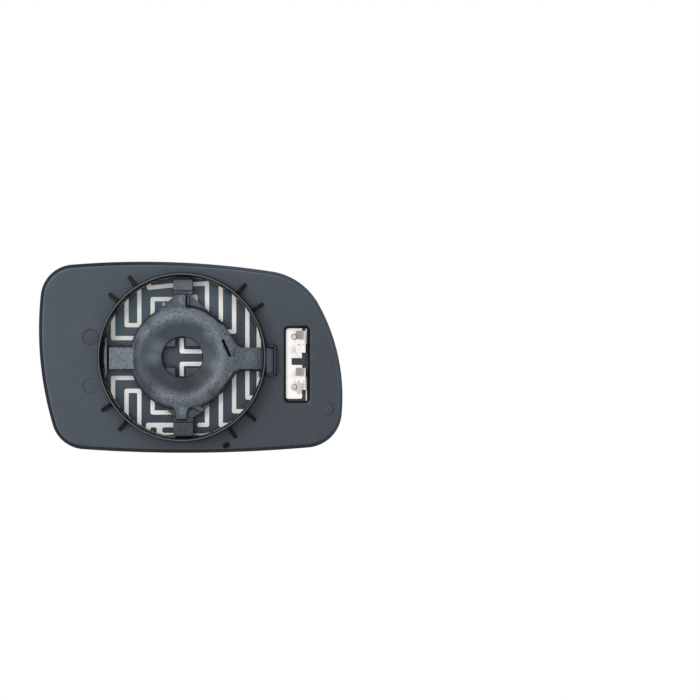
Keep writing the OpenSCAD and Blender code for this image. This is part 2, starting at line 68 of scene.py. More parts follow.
# ejector marks as (u, v, radius), and how dark the line, painted shade in its groove, and the face of
# each are
MARKS = ((-53.9, 11.8, 4.8), (-53.9, -16.9, 4.6), (84.7, -30.2, 4.2))
MARK_SHADES = ((1.0, 0.35), (0.3, 0.12), (0.2, 0.06))
MARK_WIDE, MARK_DEEP = 0.35, 0.15
# radii from the axis: painted highlight line on the ring's top, recess, root of the left arm, outer
#  side of the dish, groove beside the wedge
RING_LINE, RECESS, ROOT_AT, DISH_OUT, GROOVE_AT = 48.6, 12.1, 27.9, 29.3, 30.0
# radii over which the painted shade of the hollow ends, and over which the crest's wear and painted
# highlight begins and ends
HOLLOW, CREST_IN, CREST_OUT = (19, 24), (18.5, 24.0), (27.0, 30.5)
# cross window: middle and half width, middle and half height
CROSS = (1.25, 2.25, 0.1, 5.4)
# bowed strip on the left arm: its centre and radius
STRIP = (-36, 2.6, 4.55)
# edge and floor of the upper tab, start of the lower one, and the lug at the upper neck
TAB_LINE, UPPER_TAB, LOWER_TAB = 36.8, (37.2, 37.6), (-36.5, -35.5)
LUG = (-10.8, 31)
# direction in which the dish's lower right side faces, its lower and upper end, and how far from
#  the axis its dark edge, painted shade, and the painted shadow beside it lie
SLANT, SLANT_LOW, SLANT_HIGH = (0.816, 0.579), (-22.5, -20.5), (-8.5, -7.5)
SLANT_EDGE, SLANT_SHADOW = (29.4, 36), (29.0, 31.2)
# painted shade in a gap and along edges at the arms, as (left, right, bottom, top)
LEFT_GAP, BELOW_ARM = (-43.3, -31.5, -8.3, -7.3), (31.5, 45, -8.2, -7.0)
ARM_EDGE = (33, 48, -8.6, -7.0)
# contacts: rivets, folded tabs of the terminals, tail of the lower one, pad and the darkened half of the
# feed line
RIVET_AT, RIVETS = 65.4, (11.9, -17.5)
TABS, TAB_RIGHT = ((10.9, 15.5), (-10.8, -6.2)), 70.2
TAIL = (66.7, 70.2, -21, -15.3)
PAD_FROM, DARKENED_HALF = 59.5, (70.9, 72.3)
# spots of the dish as (u, v, radius, amount): worn to specks and partly painted highlight, painted
# highlight, painted shade that is also rougher
WORN_AND_LIT = ((-22.5, 14.5, 9, 0.9), (-15.5, 20.5, 6.5, 0.8), (17.5, 14.5, 8, 0.9), (26.8, -9.8, 7, 0.7),
        (0, 33.5, 5.5, 1.0), (0, -31.5, 5.5, 1.0), (39.6, 0.6, 7, 0.7), (-11, 26, 5, 0.6),
        (20, -5, 5, 0.5))
LIT = ((-14.5, 6.5, 7.5, 0.6), (-17.0, 0, 7, 0.6), (19.5, -4.5, 6, 0.3))
SHADE_AND_MATT = ((2, -15, 14, 0.68), (11.5, -8.5, 6, 0.42), (18, -20.7, 7, 0.45), (-27, -3, 4, 0.3),
        (-6.7, 32.3, 2.6, 0.6), (-7.9, -31, 4.5, 0.6), (7.8, -33, 4.5, 0.5), (6.5, 31, 3, 0.3),
        (-19, -17, 8, 0.5), (12.5, 28.8, 4.2, 0.45))
# soft shade on the contact pad beside the terminals
PAD_SHADE = ((66.0, 4.2, 4.5, 0.85), (65.5, -0.5, 3.5, 0.4),
             (65.8, -10.5, 3.5, 0.6), (66.0, -15.5, 3.5, 0.5))


def polar(r, deg):
    return Vector((r * math.cos(math.radians(deg)), r * math.sin(math.radians(deg))))


def crossing(c1, r1, c2, r2):
    """Where two circles cross, the point that is nearer to the ring's axis."""
    d = (c2 - c1).length
    x = (r1 * r1 - r2 * r2 + d * d) / (2 * d)
    h = math.sqrt(r1 * r1 - x * x)
    e = (c2 - c1) / d
    n = Vector((-e.y, e.x))
    p, q = c1 + e * x + n * h, c1 + e * x - n * h
    return p if p.length < q.length else q


def outline(inset, bow_steps=26, bend_steps=30):
    """Outline of the part moved in by inset: four bows, joined by four round corners."""
    sides = (RIGHT, TOP, LEFT, BOTTOM)
    centres = [polar(reach - radius, facing) for radius, facing, reach in sides]
    bends = [crossing(centres[i], sides[i][0] - CORNERS[i], centres[(i + 1) % 4],
                      sides[(i + 1) % 4][0] - CORNERS[i]) for i in range(4)]

    def along(a, b):
        return math.degrees(math.atan2(b.y - a.y, b.x - a.x))

    points = []
    for i in range(4):
        before, after = along(centres[i], bends[i - 1]), along(centres[i], bends[i])
        following = along(centres[(i + 1) % 4], bends[i])
        bow, bend = (after - before) % 360, (following - after) % 360
        points += [centres[i] + polar(sides[i][0] - inset, before + bow * k / bow_steps)
                   for k in range(1, bow_steps + 1)]
        points += [bends[i] + polar(CORNERS[i] - inset, after + bend * k / bend_steps)
                   for k in range(1, bend_steps + 1)]
    return points


def lift(u, v, depth):
    """Height above the bench of the layer at this depth, over the point (u, v). The main zone and
    the wide angle zone share a tilted axis, so the place across them, a, is found in steps."""
    tilt = math.asin(DIVIDE / MAIN_R)
    a = 0.0
    for _ in range(8):
        if a < 0:
            rho = math.sqrt((MAIN_R - depth) ** 2 - a * a)
        else:
            rho = MAIN_R - WIDE_R + math.sqrt((WIDE_R - depth) ** 2 - a * a)
        reach = math.sqrt(rho * rho - v * v)
        a = (u - reach * math.sin(tilt)) / math.cos(tilt)
    return MAIN_R - reach * math.cos(tilt) + a * math.sin(tilt)


def at(u, v, height):
    """Bench point to the frame of the part, in metres."""
    return Vector((-u, height - ORIGIN_DEPTH, v)) * MM


def on_layer(points, depth):
    """Bench points laid on the curved layer at this depth, in the frame of the part."""
    return [at(p.x, p.y, lift(p.x, p.y, depth)) for p in points]


def link(name, data):
    """New object of the scene."""
    obj = bpy.data.objects.new(name, data)
    bpy.context.scene.collection.objects.link(obj)
    return obj


def add_piece(name, mesh, material, node):
    """Piece of the visual model that stands in for a node of the CAD."""
    obj = link(name, mesh)
    mesh.materials.clear()
    mesh.materials.append(material)
    mesh.shade_smooth()
    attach(obj, "root")
    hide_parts(node)


# materials
class Tree:
    """Small helper that builds a node tree line by line. Masks run from 0 to 1."""

    def __init__(self, name):
        self.mat = bpy.data.materials.new(name)
        self.mat.use_nodes = True
        self.t = self.mat.node_tree
        self.bsdf = self.t.nodes["Principled BSDF"]
        self.coord = self.t.nodes.new("ShaderNodeTexCoord").outputs["Object"]

    def put(self, socket, value):
        if isinstance(value, bpy.types.NodeSocket):
            self.t.links.new(value, socket)
        elif value is not None:
            socket.default_value = value

    def set(self, **values):
        for key, value in values.items():
            self.put(self.bsdf.inputs[key.replace("_", " ")], value)

    def new(self, kind, **settings):
        node = self.t.nodes.new(kind)
        for key, value in settings.items():
            setattr(node, key, value)
        return node

    def noise(self, scale, detail, rough, stretch=None):
        vector = self.coord
        if stretch:
            mapping = self.new("ShaderNodeMapping")
            self.put(mapping.inputs["Vector"], vector)
            mapping.inputs["Scale"].default_value = stretch
            vector = mapping.outputs[0]
        n = self.new("ShaderNodeTexNoise")
        self.put(n.inputs["Vector"], vector)
        n.inputs["Scale"].default_value = scale
        n.inputs["Detail"].default_value = detail
        n.inputs["Roughness"].default_value = rough
        return n.outputs["Fac"]

    def math(self, op, a, b=None):
        n = self.new("ShaderNodeMath", operation=op)
        for socket, value in zip(n.inputs, (a, b)):
            self.put(socket, value)
        return n.outputs[0]

    def both(self, *masks):
        """Product of masks: strong only where all of them are."""
        result = masks[0]
        for mask in masks[1:]:
            result = self.math("MULTIPLY", result, mask)
        return result

    def either(self, *masks):
        """The strongest of several masks at each point."""
        result = masks[0]
        for mask in masks[1:]:
            result = self.math("MAXIMUM", result, mask)
        return result

    def mixed(self, fac, a, b):
        """Number between a and b."""
        return self.math("ADD", a, self.both(fac, self.math("SUBTRACT", b, a)))

    def ramp(self, fac, low, high, a=0.0, b=1.0):
        """Smooth step from a, where fac is below low, to b, where it is above high."""
        n = self.new("ShaderNodeMapRange", interpolation_type="SMOOTHSTEP")
        for socket, value in zip(n.inputs, (fac, low, high, a, b)):
            self.put(socket, value)
        return n.outputs[0]

    def span(self, length, low, high, a=0.0, b=1.0):
        """Smooth step over a length, with low and high in millimetres."""
        return self.ramp(length, low * MM, high * MM, a, b)

    def between(self, length, low, high, soft=0.1):
        """1 between two places in millimetres, with soft ends."""
        return self.both(self.span(length, low - soft, low + soft),
                         self.span(length, high - soft, high + soft, 1.0, 0.0))

    def line(self, length, middle, core, fade, amount=1.0):
        """Line about a place: full as far as core on either side of it, gone at fade."""
        away = self.math("ABSOLUTE", self.math("SUBTRACT", length, middle * MM))
        return self.span(away, core, fade, amount, 0.0)

    def mix(self, fac, a, b):
        n = self.new("ShaderNodeMix", data_type="RGBA")
        self.put(n.inputs[0], fac)
        self.put(n.inputs[6], a)
        self.put(n.inputs[7], b)
        return n.outputs[2]

    def split(self):
        n = self.new("ShaderNodeSeparateXYZ")
        self.put(n.inputs[0], self.coord)
        return n.outputs

    def bump(self, height, strength, distance):
        """Fine relief, with distance in millimetres."""
        n = self.new("ShaderNodeBump")
        n.inputs["Strength"].default_value = strength
        n.inputs["Distance"].default_value = distance * MM
        self.put(n.inputs["Height"], height)
        return n.outputs[0]

    def facing(self):
        """How far the surface faces straight back: 1 on flat tops, 0 on standing walls."""
        n = self.new("ShaderNodeSeparateXYZ")
        self.put(n.inputs[0], self.new("ShaderNodeNewGeometry").outputs["Normal"])
        return n.outputs[1]

    def shaded(self, colour, shadow, reach, low=0.3, high=0.85):
        """Paints shade into corners and grooves by darkening the colour, as far as reach in mm."""
        n = self.new("ShaderNodeAmbientOcclusion", samples=12)
        n.inputs["Distance"].default_value = reach * MM
        return self.mix(self.ramp(n.outputs["AO"], low, high), shadow, colour)

    def radius(self, u=0.0, v=0.0):
        """Distance from an axis through the back at (u, v) millimetres, in metres."""
        x, _, z = self.split()
        x, z = self.math("ADD", x, u * MM), self.math("SUBTRACT", z, v * MM)
        return self.math("SQRT", self.math("ADD", self.both(x, x), self.both(z, z)))

    def beyond(self, left, right, low, high, radius):
        """Distance outside a rounded rectangle in bench millimetres, in metres."""
        sides = []
        for axis, start, end, sign in ((0, left, right, 1), (2, low, high, -1)):
            middle = self.math("ADD", self.split()[axis], sign * (start + end) / 2 * MM)
            past = self.math("SUBTRACT", self.math("ABSOLUTE", middle),
                             ((end - start) / 2 - radius) * MM)
            past = self.either(past, 0.0)
            sides.append(self.both(past, past))
        return self.math("SUBTRACT", self.math("SQRT", self.math("ADD", *sides)), radius * MM)

    def beside_gusset(self):
        """Distance from the middle plane of the nearest gusset, in metres."""
        x, _, z = self.split()
        angle = self.math("ARCTAN2", z, self.math("MULTIPLY", x, -1.0))
        turned = self.math("SUBTRACT", angle, math.radians(GUSSET_TURN))
        quarters = self.math("DIVIDE", turned, math.pi / 2)
        off = self.math("ABSOLUTE", self.math("SUBTRACT", quarters, self.math("ROUND", quarters)))
        off = self.math("SUBTRACT", self.math("MULTIPLY", off, math.pi / 2), math.radians(GUSSET_HALF))
        return self.both(self.math("ABSOLUTE", off), self.radius())

    def lower_right(self, start, end):
        """Slanting band along the dish's lower right, start and end in mm from the ring's axis."""
        x, _, z = self.split()
        away = self.math("ADD", self.math("MULTIPLY", x, -SLANT[0]), self.math("MULTIPLY", z, -SLANT[1]))
        within = self.both(self.span(z, *SLANT_LOW), self.span(z, *SLANT_HIGH, 1.0, 0.0))
        return self.both(self.between(away, start, end, 0.2), within)

    def dish_shadow(self):
        """Shadow line beside the dish at the lower right and below the right arm."""
        below_arm = self.span(self.beyond(*BELOW_ARM, 0.1), 0.0, 0.2, 1.0, 0.0)
        return self.either(self.lower_right(*SLANT_SHADOW), below_arm)

    def spots(self, places):
        """Soft round spots, each (u, v, radius, amount), as one mask."""
        return self.either(*(self.span(self.radius(u, v), 0.0, size, amount, 0.0)
                             for u, v, size, amount in places))


def rgb(r, g, b):
    """A colour read as it looks on screen, 0 to 255."""
    def lin(c):
        c /= 255
        return c / 12.92 if c <= 0.04045 else ((c + 0.055) / 1.055) ** 2.4
    return (lin(r), lin(g), lin(b), 1.0)


def plastic(name, low, high, wall, far, rough=(0.55, 0.45), gloss=0.5,
            far_way=(0.8, -0.9), far_range=(-45, 75), detail=None):
    """Grained moulded plastic: low to high in patches, painted shade of the colour wall on standing
    walls and in corners. The colour far, painted shade on the plate and a painted highlight on the
    rim, comes in over far_range millimetres, measured along far_way in u and v. Detail draws on it."""
    t = Tree(name)
    grain = t.noise(3200, 2, 0.6)
    scuff = t.noise(2000, 3, 0.65)
    x, _, z = t.split()
    colour = t.mix(t.ramp(t.noise(38, 3, 0.55), 0.3, 0.7), low, high)
    across = t.math("SUBTRACT", t.math("MULTIPLY", z, far_way[1]), t.math("MULTIPLY", x, far_way[0]))
    colour = t.mix(t.span(across, *far_range), colour, far)
    colour = t.mix(t.ramp(t.noise(1700, 2, 0.6), 0.35, 0.7, 0.0, 0.16), colour, rgb(84, 93, 102))
    if detail:
        colour = detail(t, colour)
    # standing walls painted dark as shade
    colour = t.mix(t.ramp(t.facing(), 0.65, 0.85, 1.0, 0.0), colour, wall)
    # painted shade in corners and grooves
    colour = t.shaded(colour, rgb(8, 9, 11), 2.2)
    t.set(Base_Color=colour, Roughness=t.ramp(scuff, 0.3, 0.7, *rough), IOR=1.5,
          Specular_IOR_Level=gloss)
    t.set(Normal=t.bump(t.math("ADD", grain, t.math("MULTIPLY", scuff, 0.4)), 0.2, 0.05))
    return t.mat


def plate_detail(t, colour):
    """Ejector marks, a painted highlight on the plate's rounded edge, and painted shadow lines round the
    window, the ring and the peg and along the gussets."""
    window = t.beyond(*WINDOW, WINDOW_ROUND)
    r = t.radius()
    _, _, z = t.split()
    # each mark is a dark line, painted shade in its groove, round a slightly darker face
    for (u, v, size), (line, face) in zip(MARKS, MARK_SHADES):
        away = t.radius(u, v)
        colour = t.mix(t.span(away, size - 0.2, size, face, 0.0), colour, rgb(30, 34, 40))
        colour = t.mix(t.line(away, size - MARK_WIDE / 2, 0.12, 0.35, line), colour, rgb(8, 10, 13))
    # painted highlight on the plate's rounded edge, away from the window
    edge_highlight = t.both(t.ramp(t.facing(), 0.95, 0.985, 1.0, 0.0), t.span(window, 4, 6))
    # the edge catches less light along the bottom and the top
    edge_highlight = t.both(edge_highlight, t.span(z, -52, -40, 0.25, 1.0), t.span(z, 50, 54, 1.0, 0.1))
    colour = t.mix(edge_highlight, colour, rgb(76, 85, 95))
    foot = RING_OUT + GUSSET_LONG
    gussets = t.both(t.span(t.beside_gusset(), 1.0, 1.5, 1.0, 0.0),
                     t.span(r, foot, foot + 0.9, 1.0, 0.0))
    peg = t.span(t.radius(*PEG_AT), 1.6, 3.0, 0.8, 0.0)
    ring = t.span(r, RING_OUT + 0.5, RING_OUT + 1.1, 0.9, 0.0)
    # painted shadow round the window, at the foot of the ring, round the peg and beside the gussets
    dark = t.either(t.span(window, 0.3, 0.7, 1.0, 0.0), ring, gussets, peg)
    return t.mix(dark, colour, rgb(9, 11, 14))


def ring_plastic():
    """Plastic of the ribs, painted near black as shade, with a thin painted highlight on the ring and on
    each gusset, and a greyer catch floor, painted light.
    """
    t = Tree("ring_plastic")
    r = t.radius()
    x, _, z = t.split()
    scuff = t.noise(1600, 3, 0.65)
    # ring, gussets and catch frame are painted near black as shade
    black = rgb(6, 8, 10)
    # painted highlight along the top of each gusset
    gussets = t.both(t.span(t.beside_gusset(), 0.05, 0.32, 1.0, 0.0),
                     t.span(r, RING_OUT + 1.3, RING_OUT + 3.3))
    catch = t.span(t.beyond(RING_OUT, CATCH_FAR, CATCH_BOTTOM, CATCH_TOP, 0.3), 0.0, 0.2, 1.0, 0.0)
    outside = t.mix(catch, t.mix(gussets, black, rgb(36, 41, 47)), rgb(58, 65, 73))
    # painted highlight along the ring's top
    ring = t.mix(t.line(r, RING_LINE, 0.22, 0.42), black, rgb(90, 98, 107))
    colour = t.mix(t.span(r, RING_OUT, RING_OUT + 0.2, 1.0, 0.0), outside, ring)
    # the floor of the catch, painted light, and painted shade in a gap between it and the frame
    right, low, high = CATCH_FAR - CATCH_RIB, CATCH_BOTTOM + CATCH_RIB, CATCH_TOP - CATCH_RIB
    floor = t.beyond(RING_OUT + 0.3, right - 0.7, low + 0.3, high - 0.7, 0.2)
    floor = t.span(floor, 0.0, 0.3, 1.0, 0.0)
    gap = t.span(t.beyond(RING_OUT, right, low, high, 0.2), 0.0, 0.2, 1.0, 0.0)
    colour = t.mix(t.either(t.math("SUBTRACT", gap, floor), 0.0), colour, black)
    # standing walls painted black as shade
    colour = t.mix(t.ramp(t.facing(), 0.72, 0.86, 1.0, 0.0), colour, black)
    # parting line of the mould at the bottom of the ring
    tick = t.both(t.line(x, 0.0, 0.1, 0.3, 0.6), t.span(z, -49, -47, 1.0, 0.0))
    colour = t.mix(tick, colour, rgb(120, 124, 128))
    colour = t.mix(t.ramp(scuff, 0.5, 0.8, 0.0, 0.12), colour, rgb(60, 66, 74))
    # the catch floor painted light and kept out of the painted shade in corners
    colour = t.mix(floor, t.shaded(colour, rgb(4, 5, 6), 2.5), rgb(98, 108, 118))
    t.set(Base_Color=colour, Roughness=t.ramp(scuff, 0.3, 0.7, 0.42, 0.32), IOR=1.5,
          Specular_IOR_Level=0.08)
    t.set(Normal=t.bump(scuff, 0.2, 0.05))
    return t.mat


def dish_wear_and_highlight(t, grit):
    """How far the plastic is lightened: specks of wear on the crest, left arm, tabs and necks, partly
    painted highlight on the crest and in the spots, and a painted highlight on the lug.
    """
    r = t.radius()
    x, _, z = t.split()
    crest = t.both(t.span(r, *CREST_IN), t.span(r, *CREST_OUT, 1.0, 0.3))
    # the left side of the crest is left darker, as painted shade
    crest = t.both(crest, t.span(x, 10, 24, 1.0, 0.15))
    left_arm = t.span(x, 27.8, 29.2)
    upper_tab = t.span(z, TAB_LINE - 0.2, TAB_LINE + 0.4, 0.0, 0.5)
    worn = t.either(crest, left_arm, upper_tab, t.spots(WORN_AND_LIT))
    # the lower tab is left darker too, as painted shade
    worn = t.both(worn, t.span(z, *LOWER_TAB, 0.35, 1.0))
    # painted highlight on the lug
    worn = t.either(worn, t.span(t.radius(*LUG), 1.0, 1.5, 1.6, 0.0))
    return t.both(worn, t.ramp(grit, 0.36, 0.74))


def dish_lines(t):
    """Painted shade: dark lines in grooves and gaps, along edges, and on the standing walls of the dish
    and its arms.
    """
    r = t.radius()
    x, _, z = t.split()
    # groove beside the wedge at the upper right
    beside_wedge = t.both(t.span(x, -2.5, -1.8, 1.0, 0.0), t.span(z, 18.0, 19.5))
    groove = t.both(t.line(r, GROOVE_AT, 0.5, 0.9), beside_wedge)
    # lower edge of the upper tab
    half_tab = t.span(t.math("ABSOLUTE", x), 5.6, 5.8, 1.0, 0.0)
    tab = t.both(t.line(z, TAB_LINE, 0.1, 0.4, 0.8), half_tab)
    # gap below the left arm, bowed strip on it, and a fine line where it meets the crest
    gap = t.span(t.beyond(*LEFT_GAP, 0.1), 0.0, 0.2, 1.0, 0.0)
    u, v, bow = STRIP
    strip = t.both(t.line(t.radius(u, v), bow, 0.4, 0.6), t.span(z, 5.9, 6.2))
    root = t.both(t.line(r, ROOT_AT, 0.1, 0.5, 0.7), t.span(x, 24.5, 26.8))
    # lower side of the right arm, and the dish's lower right side
    lower_side = t.span(t.beyond(*ARM_EDGE, 0.1), 0.0, 0.2, 1.0, 0.0)
    slant = t.lower_right(*SLANT_EDGE)
    # outer edges of dish and arms, and standing walls
    level = t.facing()
    edge = t.both(t.ramp(level, 0.65, 0.98, 1.0, 0.0), t.span(r, DISH_OUT, DISH_OUT + 0.6))
    wall = t.ramp(level, 0.35, 0.7, 1.0, 0.0)
    return t.either(groove, tab, gap, root, slant, lower_side, strip, wall, edge)


def dish_plastic():
    """Dark plastic, scuffed light in fine specks on the crest and on the arms, with painted highlights
    and painted shade.
    """
    t = Tree("dish_plastic")
    r = t.radius()
    x, _, z = t.split()
    speck = t.noise(1900, 2, 0.7)
    patch = t.noise(420, 3, 0.7)
    grit = t.math("ADD", t.math("MULTIPLY", speck, 0.80), t.math("MULTIPLY", patch, 0.27))
    colour = t.mix(t.ramp(t.noise(60, 2, 0.5), 0.3, 0.7), rgb(46, 55, 63), rgb(52, 60, 69))
    # painted shade on the lower half of the hollow and on the lower tab
    low = t.both(t.span(z, -12, 4, 0.55, 0.0), t.span(r, *HOLLOW, 1.0, 0.0))
    low = t.either(low, t.span(z, *LOWER_TAB, 0.5, 0.0))
    colour = t.mix(low, colour, rgb(20, 24, 28))
    colour = t.mix(dish_wear_and_highlight(t, grit), colour, rgb(138, 145, 154))
    in_recess = t.span(r, RECESS - 0.2, RECESS, 1.0, 0.0)
    # the floor of the recess is painted lighter, as painted light
    colour = t.mix(t.both(in_recess, 0.35), colour, rgb(84, 92, 100))
    # painted highlight in the LIT spots, painted shade in the dull spots, which are also rougher
    dull = t.spots(SHADE_AND_MATT)
    colour = t.mix(t.spots(LIT), colour, rgb(112, 117, 126))
    colour = t.mix(dull, colour, rgb(20, 24, 29))
    colour = t.mix(t.ramp(grit, 0.35, 0.75, 0.0, 0.2), colour, rgb(96, 106, 114))
    # shadow line along the cross window and round the recess
    middle_x, half_wide, middle_z, half_high = CROSS
    slot = t.math("ABSOLUTE", t.math("SUBTRACT", x, middle_x * MM))
    band = t.math("ABSOLUTE", t.math("SUBTRACT", z, middle_z * MM))
    cross = t.math("MINIMUM", t.math("SUBTRACT", slot, half_wide * MM),
                   t.math("SUBTRACT", band, half_high * MM))
    rim = t.both(t.span(cross, 0.9, 1.2, 1.0, 0.0), in_recess)
    rim = t.either(rim, t.line(r, RECESS, 0.1, 0.35, 0.85))
    colour = t.mix(rim, colour, rgb(7, 9, 11))
    colour = t.mix(dish_lines(t), colour, rgb(7, 9, 11))
    # no painted shade in corners on the floor of the recess and on the upper tab
    unshaded = t.either(in_recess, t.span(z, *UPPER_TAB))
    colour = t.mix(unshaded, t.shaded(colour, rgb(6, 7, 9), 2.6, 0.35, 0.9), colour)
    # shade of the ring on the ends of the arms
    colour = t.mix(t.span(r, 45.5, 46.8, 0.0, 0.8), colour, rgb(9, 11, 13))
    t.set(Base_Color=colour, Roughness=t.mixed(dull, t.ramp(speck, 0.3, 0.7, 0.52, 0.42), 0.9),
          IOR=1.5, Specular_IOR_Level=0.3)
    t.set(Normal=t.bump(t.math("ADD", speck, t.noise(2600, 2, 0.6)), 0.25, 0.06))
    return t.mat


def film():
    """Blue grey film, with painted shade that makes it darker to the lower right."""
    t = Tree("heater_film")
    broad = t.noise(26, 3, 0.5)
    fine = t.noise(700, 3, 0.6)
    r = t.radius()
    x, _, z = t.split()
    side = t.span(t.math("SUBTRACT", t.math("MULTIPLY", x, -0.8), z), -22, 8)
    colour = t.mix(side, rgb(64, 80, 92), rgb(46, 52, 59))
    colour = t.mix(t.ramp(broad, 0.35, 0.65, 0.0, 0.35), colour, rgb(60, 71, 81))
    colour = t.mix(t.ramp(fine, 0.45, 0.75, 0.0, 0.16), colour, rgb(84, 96, 108))
    # shade at the foot of the ring and beside the dish
    colour = t.mix(t.span(r, 44.0, 47.4, 0.0, 0.8), colour, rgb(16, 20, 24))
    colour = t.mix(t.both(t.dish_shadow(), 0.9), colour, rgb(8, 10, 12))
    # the film behind the contact window is a little paler
    colour = t.mix(t.span(r, 56, 57, 0.0, 0.14), colour, rgb(84, 98, 112))
    colour = t.shaded(colour, rgb(10, 13, 16), 5, 0.2, 0.85)
    t.set(Base_Color=colour, Roughness=t.ramp(fine, 0.3, 0.7, 0.5, 0.36), Specular_IOR_Level=0.35)
    t.set(Normal=t.bump(fine, 0.12, 0.04))
    return t.mat


def silver():
    """Matt printed conductor. The contact pad is whiter than the lines."""
    t = Tree("printed_conductor")
    fine = t.noise(1500, 3, 0.65)
    broad = t.noise(90, 2, 0.5)
    x, _, _ = t.split()
    colour = t.mix(t.ramp(broad, 0.3, 0.7), rgb(220, 221, 218), rgb(229, 229, 226))
    colour = t.mix(t.ramp(fine, 0.5, 0.8, 0.0, 0.35), colour, rgb(206, 205, 200))
    colour = t.mix(t.span(x, -PAD_FROM - 0.5, -PAD_FROM + 0.5, 0.8, 0.0), colour, rgb(250, 248, 244))
    colour = t.mix(t.spots(PAD_SHADE), colour, rgb(196, 193, 186))
    colour = t.shaded(colour, rgb(92, 88, 80), 1.6, 0.05, 0.5)
    colour = t.mix(t.both(t.dish_shadow(), 0.85), colour, rgb(20, 22, 24))
    # the inner half of the feed line beside the contacts is darkened to the film's tone
    colour = t.mix(t.between(x, -DARKENED_HALF[1], -DARKENED_HALF[0]), colour, rgb(60, 66, 73))
    t.set(Base_Color=colour, Roughness=0.6, Metallic=0.0)
    t.set(Normal=t.bump(fine, 0.2, 0.04))
    return t.mat


def glue():
    """Beige where it is squeezed out beside the ring, black in the shadow round the window."""
    t = Tree("adhesive")
    fine = t.noise(800, 4, 0.7)
    blot = t.noise(260, 2, 0.6)
    colour = t.mix(t.ramp(fine, 0.35, 0.65), rgb(78, 76, 68), rgb(142, 138, 122))
    colour = t.mix(t.ramp(blot, 0.5, 0.62), colour, rgb(40, 42, 40))
    colour = t.mix(t.span(t.radius(), 50, 51), colour, rgb(13, 15, 18))
    t.set(Base_Color=colour, Roughness=0.7, Specular_IOR_Level=0.2)
    t.set(Normal=t.bump(fine, 0.4, 0.1))
    return t.mat


def tin():
    """Tinned terminals with a dull folded tab, its taupe partly painted shade on the fold, a greyer
    blade, and a dull tail on the lower one.
    """
    t = Tree("tinned_metal")
    x, _, z = t.split()
    brushed = t.noise(900, 3, 0.6, stretch=(1.0, 1.0, 0.12))
    stain = t.noise(420, 3, 0.6)
    colour = t.mix(t.ramp(stain, 0.45, 0.68), rgb(240, 238, 234), rgb(206, 198, 190))
    for low, high in TABS:
        inside = t.both(t.between(z, low, high), t.span(x, -TAB_RIGHT - 0.2, -TAB_RIGHT + 0.2))
        colour = t.mix(inside, colour, rgb(150, 142, 133))
    blade = t.span(x, -TAB_RIGHT - 0.4, -TAB_RIGHT - 0.1, 0.6, 0.0)
    colour = t.mix(blade, colour, rgb(190, 184, 179))
    tail = t.span(t.beyond(*TAIL, 0.3), 0.0, 0.3, 0.9, 0.0)
    colour = t.mix(tail, colour, rgb(196, 188, 179))
    colour = t.shaded(colour, rgb(60, 54, 48), 1.2, 0.3, 0.9)
    t.set(Base_Color=colour, Metallic=0.8, Roughness=t.ramp(brushed, 0.3, 0.7, 0.24, 0.42))
    t.set(Normal=t.bump(brushed, 0.25, 0.05))
    return t.mat


def rivet_metal():
    """Bright hollow rivets. The rolled-over edge of the head is painted dark as shade."""
    t = Tree("rivet_metal")
    fine = t.noise(1800, 3, 0.6)
    colour = t.mix(t.ramp(fine, 0.4, 0.7), rgb(246, 244, 238), rgb(214, 208, 198))
    for v in RIVETS:
        r = t.radius(RIVET_AT, v)
        edge = t.both(t.span(r, 0.95, 1.25), t.span(r, 1.8, 1.9, 1.0, 0.0))
        colour = t.mix(edge, colour, rgb(96, 88, 78))
    t.set(Base_Color=colour, Metallic=0.35, Roughness=0.4)
    t.set(Normal=t.bump(fine, 0.3, 0.04))
    return t.mat


def glass():
    """Blue tinted mirror, with a painted reflection that is deeper blue to one side, and a fine line at
    the wide angle zone.
    """
    t = Tree("tinted_mirror")
    x, _, z = t.split()
    # painted reflection: pale to deep blue across the glass
    across = t.span(t.math("ADD", t.math("MULTIPLY", z, 0.6), x), -90, 90)
    colour = t.mix(across, rgb(202, 219, 238), rgb(158, 188, 250))
    colour = t.mix(t.line(x, -DIVIDE, 0.12, 0.3, 0.75), colour, rgb(120, 132, 150))
    haze = t.noise(60, 3, 0.5)
    t.set(Base_Color=colour, Metallic=0.9, Roughness=t.ramp(haze, 0.3, 0.7, 0.06, 0.1))
    t.set(Coat_Weight=0.6, Coat_Roughness=0.02, Coat_IOR=1.5)
    t.set(Normal=t.bump(haze, 0.02, 0.1))
    return t.mat


# the plate is painted darker towards the lower right as painted shade, and its walls dark as shade
PLATE_PLASTIC = plastic("plate_plastic", rgb(45, 55, 65), rgb(52, 61, 71), wall=rgb(6, 8, 10),
                        far=rgb(33, 42, 51), detail=plate_detail)
# the rim's band is painted lighter towards the upper right as painted highlight, and its walls dark as
# shade
RIM_PLASTIC = plastic("rim_plastic", rgb(21, 26, 33), rgb(26, 31, 39), wall=rgb(8, 11, 16),
                      far=rgb(58, 65, 74), rough=(0.45, 0.36), gloss=0.15,
                      far_way=(0.7, 0.7), far_range=(10, 60))
RING_PLASTIC = ring_plastic()
DISH_PLASTIC = dish_plastic()
FILM, SILVER, GLUE = film(), silver(), glue()
TIN, RIVET, MIRROR = tin(), rivet_metal(), glass()
for name, material in (("heater_film", FILM), ("heater_track", SILVER), ("adhesive_sheet", GLUE),
                       ("terminal_upper", TIN), ("terminal_lower", TIN), ("rivet_upper", RIVET),
                       ("rivet_lower", RIVET), ("back_plate", PLATE_PLASTIC), ("mirror_glass", MIRROR)):
    nodes[name].data.materials.clear()
    nodes[name].data.materials.append(material)


# mesh helpers
def finished(bm, name):
    bmesh.ops.recalc_face_normals(bm, faces=bm.faces)
    mesh = bpy.data.meshes.new(name)
    bm.to_mesh(mesh)
    bm.free()
    return mesh


def verts(bm, places):
    return [bm.verts.new(place) for place in places]


